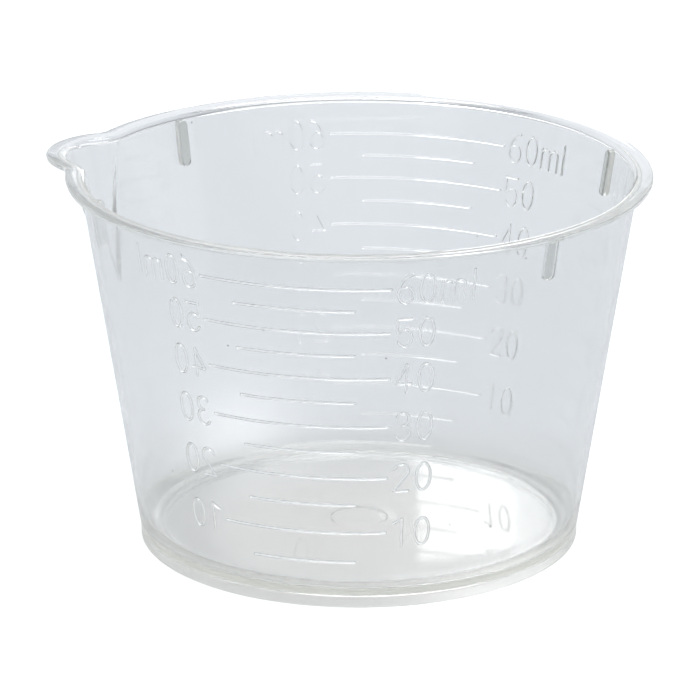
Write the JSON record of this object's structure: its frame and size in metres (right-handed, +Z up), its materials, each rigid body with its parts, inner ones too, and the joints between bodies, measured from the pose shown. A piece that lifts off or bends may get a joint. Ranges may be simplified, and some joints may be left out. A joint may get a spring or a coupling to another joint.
{
  "type": "graduated medicine cup",
  "caption": "Clear round tapered measuring cup with a flat rim, a pouring spout, stacking lugs, a foot ring and raised millilitre scales.",
  "frame": {"origin": "on the cup's axis, in the plane of the foot ring that it stands on", "axes": "+Z up along the cup's axis; the pouring spout points towards -X; the two scales face -Y and +Y"},
  "size_m": [0.0614, 0.0584, 0.0384],
  "materials": {
    "clear_plastic": "clear, slightly milky injection-moulded polypropylene with a gloss surface"
  },
  "bodies": {
    "root": {"cup_body": "clear_plastic"}
  },
  "joints": []
}
